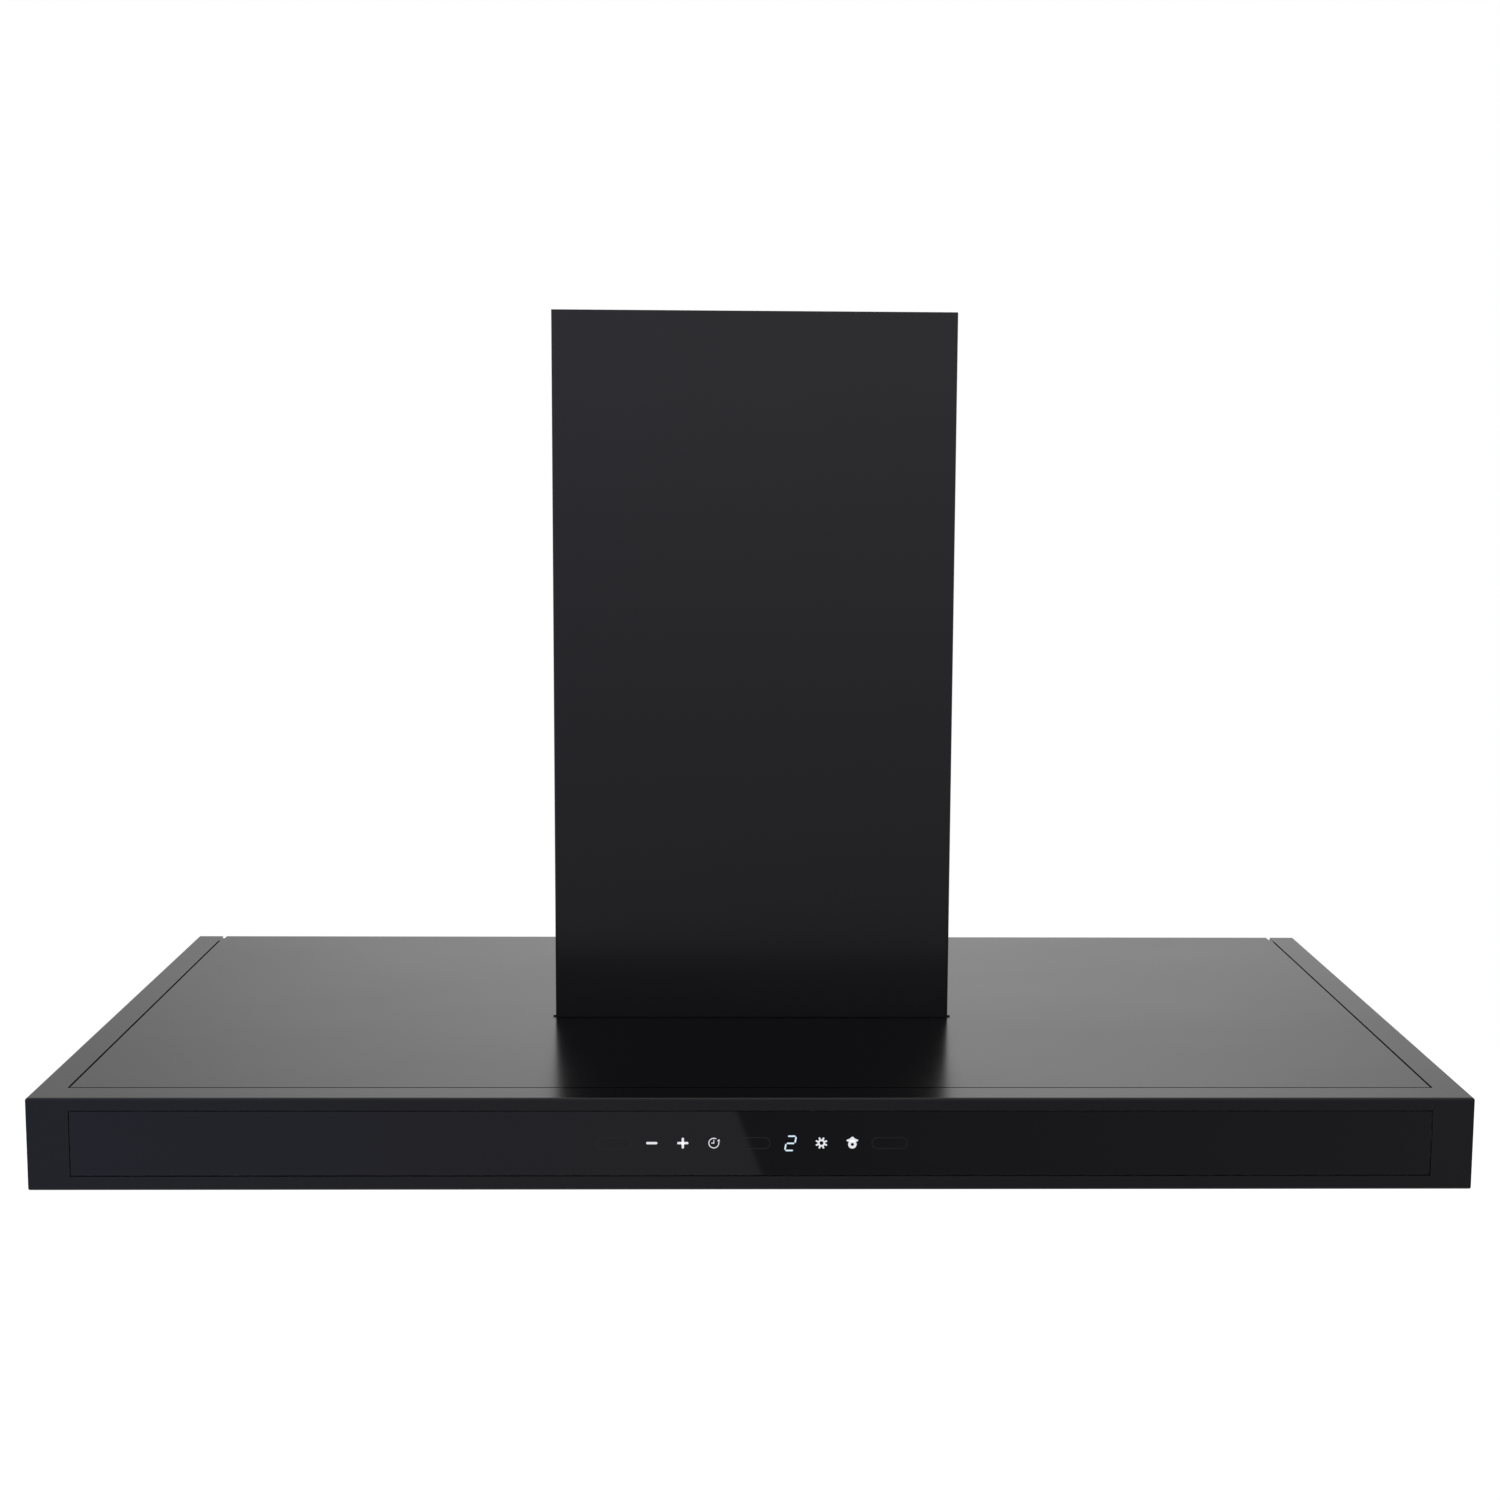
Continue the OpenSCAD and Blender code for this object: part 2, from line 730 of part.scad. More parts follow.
module inlet_ring_left() {
  color(plastic_dark) mirror([1, 0, 0]) inlet_ring();
}

module motor_body() {
  color(zinc) difference() {
    union() {
      rod_x(motor_r, motor_x0 + 7, motor_x1 - 7, wheel_y, wheel_z);
      rod_x(motor_r - 8, motor_x0, motor_x1, wheel_y, wheel_z);
    }
    rod_x(shaft_r + running, motor_x1 - 20, motor_x1 + over, wheel_y, wheel_z);
  }
}

// A place on each of the three arms that carry the motor.
module at_arms() {
  for (a = arm_angles)
    translate([0, wheel_y + pillar_at_r * cos(a), wheel_z + pillar_at_r * sin(a)]) children();
}

module motor_bracket() {
  color(steel_bright) {
    difference() {
      union() {
        rod_x(motor_r + 3, bracket_x - 4, bracket_x + 8, wheel_y, wheel_z);
        for (a = arm_angles)
          translate([0, wheel_y, wheel_z]) rotate([a, 0, 0])
            block(bracket_x, bracket_x + 2, motor_r + 1, pillar_at_r + 7, -7, 7);
      }
      rod_x(motor_r, bracket_x - 5, bracket_x + 9, wheel_y, wheel_z);
    }
    at_arms() rod_x(pillar_r, bracket_x + over, -scroll_half_w - grommet_t, 0, 0);
  }
}

module motor_grommets() {
  color([0.06, 0.06, 0.06]) at_arms() difference() {
    rod_x(grommet_r, -scroll_half_w - grommet_t, -scroll_half_w, 0, 0);
    rod_x(grommet_hole_r, -scroll_half_w - grommet_t - over, -scroll_half_w + over, 0, 0);
  }
}

module capacitor() {
  color([0.85, 0.85, 0.86]) {
    rod_z(capacitor_r, capacitor_x, capacitor_y, capacitor_z0, capacitor_z1);
    rod_z(4, capacitor_x, capacitor_y, capacitor_z0 - 6, capacitor_z0);
  }
}

module capacitor_clip() {
  color(steel_bright) difference() {
    rod_z(capacitor_r + clip_t, capacitor_x, capacitor_y, clip_z0, clip_z1);
    rod_z(capacitor_r, capacitor_x, capacitor_y, clip_z0 - over, clip_z1 + over);
  }
}

module fan_wheel() {
  color(zinc) translate([0, wheel_y, wheel_z]) rotate([0, 90, 0]) difference() {
    union() {
      linear_extrude(height = 2 * wheel_half_w, center = true)
        for (i = [0 : blades - 1])
          rotate(i * 360 / blades) translate([(blade_in_r + wheel_r) / 2, 0]) rotate(blade_turn)
            square([blade_l, blade_t], center = true);
      for (z = [-wheel_half_w, wheel_half_w - wheel_rim_t])
        translate([0, 0, z]) difference() {
          cylinder(r = wheel_r, h = wheel_rim_t);
          translate([0, 0, -over]) cylinder(r = blade_in_r, h = wheel_rim_t + 2 * over);
        }
      translate([0, 0, -web_t / 2]) cylinder(r = wheel_r, h = web_t);
      translate([0, 0, hub_x0]) cylinder(r = hub_r, h = hub_x1 - hub_x0);
    }
    translate([0, 0, hub_x0 - over]) cylinder(r = shaft_r, h = hub_x1 - hub_x0 + 2 * over);
  }
}

module fan_shaft() {
  color(steel_bright) rod_x(shaft_r, motor_x1 - 19, hub_x1 + nut_t + 3, wheel_y, wheel_z);
}

module fan_nut() {
  color(zinc) translate([hub_x1, wheel_y, wheel_z]) rotate([0, 90, 0]) difference() {
    cylinder(r = nut_r, h = nut_t, $fn = 6);
    translate([0, 0, -over]) cylinder(r = shaft_r, h = nut_t + 2 * over);
  }
}

module outlet_collar() {
  foot = collar_r + collar_foot;
  color(plastic_dark) difference() {
    union() {
      block(-foot, foot, collar_y - foot, collar_y + foot, box_top_z, box_top_z + collar_t);
      rod_z(collar_r, 0, collar_y, box_top_z, box_top_z + collar_h);
    }
    rod_z(collar_r - collar_t, 0, collar_y, damper_z - 0.8, box_top_z + collar_h + over);
    rod_z(collar_r - collar_t - stop_w, 0, collar_y, box_top_z, damper_z);
    rod_z(collar_r - collar_t, 0, collar_y, box_top_z - over, damper_z - 2);
    rod_x(damper_pin_r, -collar_r - over, collar_r + over, collar_y, damper_z);
  }
}

module damper_pin() {
  color(steel_bright) rod_x(damper_pin_r, -collar_r + 0.4, collar_r - 0.4, collar_y, damper_z);
}

// One half-round flap on the wall side of the pin, lying flat when shut.
module damper_flap() {
  translate([0, collar_y, damper_z]) difference() {
    union() {
      translate([0, 0, -flap_t / 2]) linear_extrude(height = flap_t) intersection() {
        circle(r = flap_r);
        translate([-flap_r, knuckle_r + 0.6]) square([2 * flap_r, flap_r]);
      }
      for (x = knuckle_xs) {
        rod_x(knuckle_r, x, x + knuckle_l, 0, 0);
        block(x, x + knuckle_l, 0, knuckle_r + 2, -flap_t / 2, flap_t / 2);
      }
    }
    rod_x(damper_pin_r + running, -flap_r, flap_r, 0, 0);
  }
}

module damper_flap_rear() {
  color(plastic_dark) damper_flap();
}

module damper_flap_front() {
  color(plastic_dark)
    translate([0, collar_y, 0]) rotate([0, 0, 180]) translate([0, -collar_y, 0]) damper_flap();
}

module power_box() {
  color(plastic_dark) difference() {
    block(power_x0, power_x1, power_y0, power_y1, box_top_z, box_top_z + power_h);
    block(power_x0 + power_t, power_x1 - power_t, power_y0 + power_t, power_y1 - power_t,
      box_top_z + power_t, box_top_z + power_h + over);
  }
}

module power_box_lid() {
  mid_x = (power_x0 + power_x1) / 2;
  color(plastic_dark) difference() {
    block(power_x0, power_x1, power_y0, power_y1, box_top_z + power_h, box_top_z + power_h + power_t);
    rod_z(gland_r, mid_x, gland_y, box_top_z + power_h - over, box_top_z + power_h + power_t + over);
  }
}

module power_board() {
  z0 = box_top_z + power_t + standoff_h;
  color(board_green) {
    block(power_x0 + power_t, power_x1 - power_t, power_y0 + 6, power_y1 - 50, z0, z0 + board_t);
    for (y = [power_y0 + 12, power_y1 - 56])
      rod_z(2.5, (power_x0 + power_x1) / 2, y, box_top_z + power_t, z0);
  }
}

module power_board_parts() {
  z0 = box_top_z + power_t + standoff_h + board_t;
  x = power_x0 + power_t + 5;
  color([0.08, 0.08, 0.09]) {
    block(x, x + 24, power_y0 + 14, power_y0 + 42, z0, z0 + 20);
    for (y = [power_y0 + 52, power_y0 + 72, power_y0 + 92])
      block(x, x + 15, y, y + 15, z0, z0 + 16);
  }
}

module terminal_block() {
  z0 = box_top_z + power_t;
  color([0.9, 0.9, 0.88]) difference() {
    block(power_x0 + 8, power_x1 - 8, terminal_y0, terminal_y1, z0, z0 + terminal_h);
    for (i = [-1 : 1])
      rod_z(screw_r, (power_x0 + power_x1) / 2 + i * terminal_pitch, (terminal_y0 + terminal_y1) / 2,
        z0 + 5, z0 + terminal_h + over);
  }
}

// The gland the supply cable enters by, with its locking nut inside the box.
module cable_gland() {
  mid_x = (power_x0 + power_x1) / 2;
  z0 = box_top_z + power_h;
  color([0.12, 0.12, 0.12]) difference() {
    union() {
      rod_z(gland_r, mid_x, gland_y, z0 - 8, z0 + 18);
      translate([mid_x, gland_y, z0 + power_t]) cylinder(r = gland_nut_r, h = 6, $fn = 6);
      translate([mid_x, gland_y, z0 - 5]) cylinder(r = gland_nut_r, h = 5, $fn = 6);
    }
    rod_z(cable_r, mid_x, gland_y, z0 - 8 - over, z0 + 18 + over);
  }
}

// The rim, handle plate and hinge pins of the left filter.
module filter_frame() {
  t = filter_t_sheet;
  difference() {
    block(filter_x0, filter_x1, filter_y0, filter_y1, filter_z0, filter_z1);
    block(filter_x0 + t, filter_x1 - t, filter_y0 + t, filter_y1 - t, filter_z0 + t, filter_z1 - t);
    block(filter_x0 + rim_w, filter_x1 - rim_w, filter_y0 + handle_plate_d, filter_y1 - rim_w,
      filter_z0 - over, filter_z0 + 2 * t);
    block(filter_x0 + rim_w, filter_x1 - rim_w, filter_y0 + rim_w, filter_y1 - rim_w,
      filter_z1 - 2 * t, filter_z1 + over);
    block(filter_mid_x - cup_half_w + t, filter_mid_x + cup_half_w - t, cup_y0 + t, cup_y1 - t,
      filter_z0 - over, filter_z0 + 2 * t);
  }
  rod_x(filter_pin_r, filter_x0 - pin_wall_l, filter_x0 + t, filter_pin_y, filter_pin_z);
  rod_x(filter_pin_r, filter_x1 - t, filter_x1 + pin_bar_l, filter_pin_y, filter_pin_z);
}

// Channel strips in two layers: the lower ones open upward, the upper ones cover their gaps.
module filter_baffles() {
  t = filter_t_sheet;
  y0 = filter_y0 + handle_plate_d - 6;
  y1 = filter_y1 - t;
  for (i = [-4 : 4])
    translate([filter_mid_x + i * baffle_pitch, 0, 0])
      difference() {
        block(-baffle_w / 2, baffle_w / 2, y0, y1, filter_z0 + t, filter_z0 + t + baffle_h);
        block(-baffle_w / 2 + t, baffle_w / 2 - t, y0 - over, y1 + over, filter_z0 + 2 * t, filter_z1);
      }
  for (i = [-3.5 : 3.5])
    translate([filter_mid_x + i * baffle_pitch, 0, 0])
      difference() {
        block(-baffle_w / 2, baffle_w / 2, y0, y1, filter_z1 - t - baffle_h, filter_z1 - t);
        block(-baffle_w / 2 + t, baffle_w / 2 - t, y0 - over, y1 + over, filter_z0, filter_z1 - 2 * t);
      }
}

// A pressed cup above the handle plate that the handle folds into.
module filter_handle_cup() {
  difference() {
    block(filter_mid_x - cup_half_w, filter_mid_x + cup_half_w, cup_y0, cup_y1, cup_z0, cup_z1);
    block(filter_mid_x - cup_half_w + 1, filter_mid_x + cup_half_w - 1, cup_y0 + 1, cup_y1 - 1,
      cup_z0 - over, cup_z1 - 1);
    rod_x(handle_r + running, filter_mid_x - cup_half_w - over, filter_mid_x + cup_half_w + over,
      handle_y1, handle_z);
  }
}

// A folding wire handle whose ends turn out into the sides of the cup.
module filter_handle() {
  translate([filter_mid_x, 0, 0]) {
    rod_x(handle_r, -handle_half_w, handle_half_w, handle_y0, handle_z);
    for (s = [-1, 1]) {
      rod_y(handle_r, s * handle_half_w, handle_y0, handle_y1, handle_z);
      translate([s * handle_half_w, handle_y0, handle_z]) sphere(r = handle_r);
      translate([s * handle_half_w, handle_y1, handle_z]) sphere(r = handle_r);
      translate([s * (handle_half_w + handle_pivot_half_l), 0, 0])
        rod_x(handle_r, -handle_pivot_half_l, handle_pivot_half_l, handle_y1, handle_z);
    }
  }
}

module filter_left_frame() {
  color(steel_bright) filter_frame();
}

module filter_right_frame() {
  color(steel_bright) mirror([1, 0, 0]) filter_frame();
}

module filter_left_baffles() {
  color(steel_bright) filter_baffles();
}

module filter_right_baffles() {
  color(steel_bright) mirror([1, 0, 0]) filter_baffles();
}

module filter_left_handle_cup() {
  color(steel_bright) filter_handle_cup();
}

module filter_right_handle_cup() {
  color(steel_bright) mirror([1, 0, 0]) filter_handle_cup();
}

module filter_left_handle() {
  color(steel_bright) filter_handle();
}

module filter_right_handle() {
  color(steel_bright) mirror([1, 0, 0]) filter_handle();
}

canopy_shell();
top_panel();
rear_panel();
underside_panel();
wall_hook_left();
wall_hook_right();
levelling_screws();
panel_screws();
filter_centre_bar();
filter_spring_clips();
glass_panel();
glass_carrier();
touch_board();
display_module();
touch_board_housing();
lamp_left_housing();
lamp_right_housing();
lamp_left_board();
lamp_right_board();
lamp_left_lens();
lamp_right_lens();
lamp_clips();
lower_chimney_cover();
chimney_base_frame();
upper_chimney_cover();
upper_chimney_bracket();
blower_box();
blower_screws();
scroll_housing();
inlet_ring_left();
inlet_ring_right();
motor_body();
motor_bracket();
motor_grommets();
capacitor();
capacitor_clip();
fan_wheel();
fan_shaft();
fan_nut();
outlet_collar();
damper_pin();
damper_flap_front();
damper_flap_rear();
power_box();
power_box_lid();
power_board();
power_board_parts();
terminal_block();
cable_gland();
filter_left_frame();
filter_right_frame();
filter_left_baffles();
filter_right_baffles();
filter_left_handle_cup();
filter_right_handle_cup();
filter_left_handle();
filter_right_handle();
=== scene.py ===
"""The looks of a black chimney range hood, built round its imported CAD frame."""

import json
import math

import bpy
from mathutils import Matrix, Vector


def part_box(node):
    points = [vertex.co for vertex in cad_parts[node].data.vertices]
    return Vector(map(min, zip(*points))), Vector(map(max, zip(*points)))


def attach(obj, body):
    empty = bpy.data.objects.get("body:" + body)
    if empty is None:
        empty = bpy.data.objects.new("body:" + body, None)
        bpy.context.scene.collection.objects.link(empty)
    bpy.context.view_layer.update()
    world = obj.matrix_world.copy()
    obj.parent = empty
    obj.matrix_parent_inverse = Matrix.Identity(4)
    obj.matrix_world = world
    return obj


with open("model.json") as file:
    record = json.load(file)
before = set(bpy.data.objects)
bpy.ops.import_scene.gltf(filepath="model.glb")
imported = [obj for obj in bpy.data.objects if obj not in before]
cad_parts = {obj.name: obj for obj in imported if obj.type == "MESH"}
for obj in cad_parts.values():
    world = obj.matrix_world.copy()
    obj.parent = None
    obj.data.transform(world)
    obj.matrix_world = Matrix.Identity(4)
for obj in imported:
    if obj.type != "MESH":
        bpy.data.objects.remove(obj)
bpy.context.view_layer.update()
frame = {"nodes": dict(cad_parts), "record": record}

MM = 0.001
CANOPY_LOW, CANOPY_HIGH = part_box("canopy_shell")
GLASS_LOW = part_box("glass_panel")[0]
BOARD_LOW, BOARD_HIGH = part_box("touch_board")
DISPLAY_LOW, DISPLAY_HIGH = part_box("display_module")
# The range that most of a noise texture falls in.
NOISE_LOW, NOISE_HIGH = 0.3, 0.7
NOISE_ROUGHNESS = 0.55
IOR = 1.5


# ---------------------------------------------------------------- node helpers


class Shader:
    """A node tree with short calls for the nodes the materials share."""

    def __init__(self, tree):
        self.tree = tree
        self.tree.nodes.clear()

    def add(self, kind, **values):
        """A new node with its properties set."""
        node = self.tree.nodes.new(kind)
        for name, value in values.items():
            setattr(node, name, value)
        return node

    def feed(self, socket, value):
        """Links a socket to value, or sets it where value is a plain number."""
        if isinstance(value, bpy.types.NodeSocket):
            self.tree.links.new(value, socket)
        else:
            socket.default_value = value

    def math(self, operation, first, second=0.0, clamp=False):
        """One step of arithmetic on numbers or sockets."""
        node = self.add("ShaderNodeMath", operation=operation, use_clamp=clamp)
        self.feed(node.inputs[0], first)
        self.feed(node.inputs[1], second)
        return node.outputs[0]

    def spread(self, value, low, high, to_low, to_high, smooth=False):
        """Maps low..high onto to_low..to_high and clamps it."""
        node = self.add("ShaderNodeMapRange", clamp=True)
        node.interpolation_type = "SMOOTHSTEP" if smooth else "LINEAR"
        self.feed(node.inputs["Value"], value)
        for name, number in (
            ("From Min", low),
            ("From Max", high),
            ("To Min", to_low),
            ("To Max", to_high),
        ):
            self.feed(node.inputs[name], number)
        return node.outputs["Result"]

    def vary(self, noise, to_low, to_high):
        """Maps the range that most of a noise falls in onto to_low..to_high."""
        return self.spread(noise, NOISE_LOW, NOISE_HIGH, to_low, to_high)

    def place(self, scale=(1, 1, 1)):
        """The object's own coordinates in metres, stretched by scale."""
        coordinate = self.add("ShaderNodeTexCoord")
        mapping = self.add("ShaderNodeMapping")
        mapping.inputs["Scale"].default_value = scale
        self.feed(mapping.inputs["Vector"], coordinate.outputs["Object"])
        return mapping.outputs["Vector"]

    def noise(self, scale, detail=3.0, stretch=(1, 1, 1)):
        """Cloudy noise; scale is in features per metre."""
        node = self.add("ShaderNodeTexNoise")
        self.feed(node.inputs["Vector"], self.place(stretch))
        node.inputs["Scale"].default_value = scale
        node.inputs["Detail"].default_value = detail
        node.inputs["Roughness"].default_value = NOISE_ROUGHNESS
        return node.outputs["Fac"]

    def cells(self, scale, output="Distance", feature="F1", stretch=(1, 1, 1)):
        """A pattern of cells; scale is in cells per metre."""
        node = self.add("ShaderNodeTexVoronoi", feature=feature)
        self.feed(node.inputs["Vector"], self.place(stretch))
        node.inputs["Scale"].default_value = scale
        return node.outputs[output]

    def blend(self, amount, first, second):
        """A colour between two colours, each an (r, g, b) or another node's colour."""
        node = self.add("ShaderNodeMix", data_type="RGBA")
        self.feed(node.inputs[0], amount)
        for socket, value in ((node.inputs[6], first), (node.inputs[7], second)):
            self.feed(socket, value if isinstance(value, bpy.types.NodeSocket) else (*value, 1))
        return node.outputs[2]

    def bump(self, height, strength, distance, under=None):
        """A raised normal, laid over another where one is given."""
        node = self.add("ShaderNodeBump")
        node.inputs["Strength"].default_value = strength
        node.inputs["Distance"].default_value = distance
        self.feed(node.inputs["Height"], height)
        if under is not None:
            self.feed(node.inputs["Normal"], under)
        return node.outputs["Normal"]

    def surface(self, color, roughness, normal=None, metallic=0.0, **sockets):
        """Ends the tree in a principled shader; sockets are named with _ for each space."""
        shader = self.add("ShaderNodeBsdfPrincipled")
        self.feed(shader.inputs["Base Color"], color)
        self.feed(shader.inputs["Roughness"], roughness)
        shader.inputs["Metallic"].default_value = metallic
        shader.inputs["IOR"].default_value = IOR
        if normal is not None:
            self.feed(shader.inputs["Normal"], normal)
        for name, value in sockets.items():
            shader.inputs[name.replace("_", " ")].default_value = value
        output = self.add("ShaderNodeOutputMaterial")
        self.feed(output.inputs["Surface"], shader.outputs["BSDF"])


def start(name):
    """A new empty material and its shader."""
    material = bpy.data.materials.new(name)
    material.use_nodes = True
    return material, Shader(material.node_tree)


# ------------------------------------------------------------------- materials


def satin_black():
    """Satin black powder coat: a fine orange peel with faint handling marks."""
    material, s = start("satin_black")
    peel = s.noise(1100, detail=2)
    marks = s.noise(5, detail=6, stretch=(1, 1.6, 1))
    color = s.blend(peel, (0.0004, 0.0004, 0.0004), (0.0011, 0.0011, 0.0012))
    smeared = s.vary(marks, 0.205, 0.24)
    rough = s.math("ADD", smeared, s.vary(peel, -0.015, 0.015))
    s.surface(color, rough, s.bump(peel, 0.05, 0.00005))
    return material


def black_glass():
    """Black-backed toughened glass, with the slightest roller wave."""
    material, s = start("black_glass")
    film = s.noise(9, detail=4)
    color = s.blend(film, (0.0018, 0.0019, 0.003), (0.0024, 0.0025, 0.0038))
    wave = s.noise(14, detail=0, stretch=(1, 1, 0.5))
    s.surface(color, s.vary(film, 0.012, 0.03), s.bump(wave, 0.015, 0.0004))
    return material


def brushed_steel(name, along, tone, grain=0.35):
    """Stainless steel with its grain running along one axis."""
    material, s = start(name)
    stretch = [1.0, 1.0, 1.0]
    stretch["XYZ".index(along)] = 0.012
    lines = s.noise(1500, detail=2, stretch=stretch)
    bands = s.noise(160, detail=2, stretch=stretch)
    stain = s.noise(12, detail=5)
    color = s.blend(lines, [c * 0.82 for c in tone], tone)
    brushed = s.spread(lines, 0.2, 0.8, 0.24, grain)
    rough = s.math("ADD", brushed, s.vary(stain, -0.03, 0.05))
    under = s.bump(bands, 0.06, 0.0002)
    s.surface(color, rough, s.bump(lines, 0.18, 0.00006, under), metallic=1.0)
    return material


def galvanised():
    """Zinc-coated sheet: pale spangled crystals, each with its own shine."""
    material, s = start("galvanised")
    crystal = s.cells(150, output="Color", stretch=(1, 1.2, 1))
    split = s.add("ShaderNodeSeparateColor")
    s.feed(split.inputs["Color"], crystal)
    dust = s.noise(260, detail=4)
    spangle = s.math("MULTIPLY", split.outputs["Red"], 0.7)
    tone = s.math("ADD", spangle, s.math("MULTIPLY", dust, 0.3))
    color = s.blend(tone, (0.36, 0.375, 0.39), (0.56, 0.57, 0.58))
    rough = s.spread(split.outputs["Green"], 0, 1, 0.34, 0.52)
    s.surface(color, rough, s.bump(dust, 0.08, 0.00008), metallic=0.9)
    return material


def plated_steel(name, tone, rough_low, rough_high):
    """Plated or sprung steel with fine turned marks and a little tarnish."""
    material, s = start(name)
    scratches = s.noise(900, detail=4, stretch=(1, 0.2, 1))
    tarnish = s.noise(55, detail=5)
    color = s.blend(tarnish, tone, [c * 0.72 for c in tone])
    s.surface(color, s.vary(scratches, rough_low, rough_high),
              s.bump(scratches, 0.12, 0.00005), metallic=1.0)
    return material


def moulded_plastic(name, low, high, rough, grain=1600, relief=0.2):
    """Moulded plastic with a fine spark-eroded grain."""
    material, s = start(name)
    pits = s.cells(grain)
    flow = s.noise(22, detail=4)
    color = s.blend(flow, low, high)
    s.surface(color, s.vary(flow, rough - 0.05, rough + 0.06),
              s.bump(pits, relief, 0.00006))
    return material


def circuit_board():
    """Green solder mask over a net of copper tracks."""
    material, s = start("circuit_board")
    tracks = s.cells(420, feature="DISTANCE_TO_EDGE", stretch=(1, 0.6, 1))
    line = s.spread(tracks, 0.03, 0.09, 1, 0)
    mottle = s.noise(300, detail=3)
    copper = s.math("MULTIPLY", line, 0.75)
    amount = s.math("ADD", copper, s.math("MULTIPLY", mottle, 0.2), clamp=True)
    color = s.blend(amount, (0.006, 0.07, 0.03), (0.05, 0.22, 0.08))
    s.surface(color, s.vary(mottle, 0.24, 0.34), s.bump(line, 0.35, 0.00008))
    return material


def lamp_glass():
    """Frosted pressed glass, pebbled to spread the light of the diodes."""
    material, s = start("lamp_glass")
    pebbles = s.cells(520, feature="SMOOTH_F1")
    haze = s.noise(40, detail=3)
    color = s.blend(haze, (0.86, 0.88, 0.88), (0.96, 0.97, 0.96))
    s.surface(color, s.vary(haze, 0.24, 0.38), s.bump(pebbles, 0.5, 0.0003),
              Transmission_Weight=0.45, Emission_Color=(1, 0.97, 0.9, 1), Emission_Strength=0.08)
    return material


def lamp_board():
    """White solder mask round the lamp diodes, faintly speckled."""
    material, s = start("lamp_board")
    speckle = s.noise(700, detail=3)
    color = s.blend(speckle, (0.74, 0.74, 0.7), (0.88, 0.88, 0.85))
    s.surface(color, s.vary(speckle, 0.35, 0.5), s.bump(speckle, 0.1, 0.00005))
    return material


def rubber():
    """Dull black rubber with a bloomed, finely pitted skin."""
    material, s = start("grommet_rubber")
    bloom = s.noise(240, detail=5)
    pits = s.noise(1800, detail=2)
    color = s.blend(bloom, (0.012, 0.012, 0.012), (0.03, 0.029, 0.028))
    s.surface(color, s.vary(bloom, 0.6, 0.8), s.bump(pits, 0.3, 0.0001))
    return material


def motor_metal():
    """A pressed motor can under grey paint, worn a little along its grain."""
    material, s = start("motor_metal")
    peel = s.noise(800, detail=3)
    wear = s.noise(70, detail=6, stretch=(0.3, 1, 1))
    color = s.blend(s.spread(wear, 0.45, 0.7, 0, 1), (0.15, 0.155, 0.16), (0.24, 0.245, 0.25))
    s.surface(color, s.vary(wear, 0.34, 0.46), s.bump(peel, 0.15, 0.00008),
              metallic=0.4)
    return material


def symbol_white():
    """The white ink of the touch symbols, lit softly from behind."""
    material, s = start("symbol_white")
    ink = s.noise(2600, detail=3)
    color = s.blend(ink, (0.78, 0.79, 0.8), (0.92, 0.93, 0.94))
    s.surface(color, s.vary(ink, 0.4, 0.5), s.bump(ink, 0.1, 0.00002),
              Emission_Color=(0.95, 0.97, 1, 1), Emission_Strength=0.35)
    return material


def digit_light():
    """A lit display digit, a little bluer than the ink."""
    material, s = start("digit_light")
    glow = s.noise(900, detail=2)
    color = s.blend(glow, (0.62, 0.74, 0.84), (0.74, 0.84, 0.92))
    s.surface(color, s.vary(glow, 0.3, 0.4), s.bump(glow, 0.05, 0.00002),
              Emission_Color=(0.7, 0.9, 1, 1), Emission_Strength=0.5)
    return material


def symbol_faint():
    """Unlit grey ink, only just lighter than the glass."""
    material, s = start("symbol_faint")
    ink = s.noise(2600, detail=3)
    color = s.blend(ink, (0.0105, 0.0105, 0.0125), (0.0135, 0.0135, 0.016))
    s.surface(color, s.vary(ink, 0.1, 0.16), s.bump(ink, 0.05, 0.00002))
    return material


MATERIALS = {
    "satin_black": satin_black(),
    "black_glass": black_glass(),
    "baffle_steel": brushed_steel("baffle_steel", "Y", (0.6, 0.6, 0.61)),
    "lamp_metal": brushed_steel("lamp_metal", "X", (0.56, 0.56, 0.58), 0.42),
    "galvanised": galvanised(),
    "fastener": plated_steel("fastener", (0.55, 0.55, 0.53), 0.22, 0.36),
    "spring_steel": plated_steel("spring_steel", (0.5, 0.49, 0.47), 0.18, 0.3),
    "circuit_board": circuit_board(),
    "dark_plastic": moulded_plastic(
        "dark_plastic", (0.022, 0.022, 0.024), (0.034, 0.034, 0.036), 0.46),
    "gland_plastic": moulded_plastic(
        "gland_plastic", (0.011, 0.011, 0.012), (0.018, 0.018, 0.019), 0.4),
    "pale_plastic": moulded_plastic(
        "pale_plastic", (0.6, 0.59, 0.54), (0.7, 0.69, 0.64), 0.38),
    "capacitor_can": moulded_plastic(
        "capacitor_can", (0.62, 0.62, 0.6), (0.7, 0.7, 0.68), 0.35, 900, 0.1),
    "lamp_board": lamp_board(),
    "lamp_glass": lamp_glass(),
    "motor_metal": motor_metal(),
    "grommet_rubber": rubber(),
}

for part in frame["record"]["subparts"]:
    slots = frame["nodes"][part["node"]].data.materials
    slots.clear()
    slots.append(MATERIALS[part["material_slot"]])


# ----------------------------------------------------------- touch-key symbols

SYMBOL_DEPTH = 0.1 * MM
SYMBOL_FACE_Y = GLASS_LOW[1] - SYMBOL_DEPTH
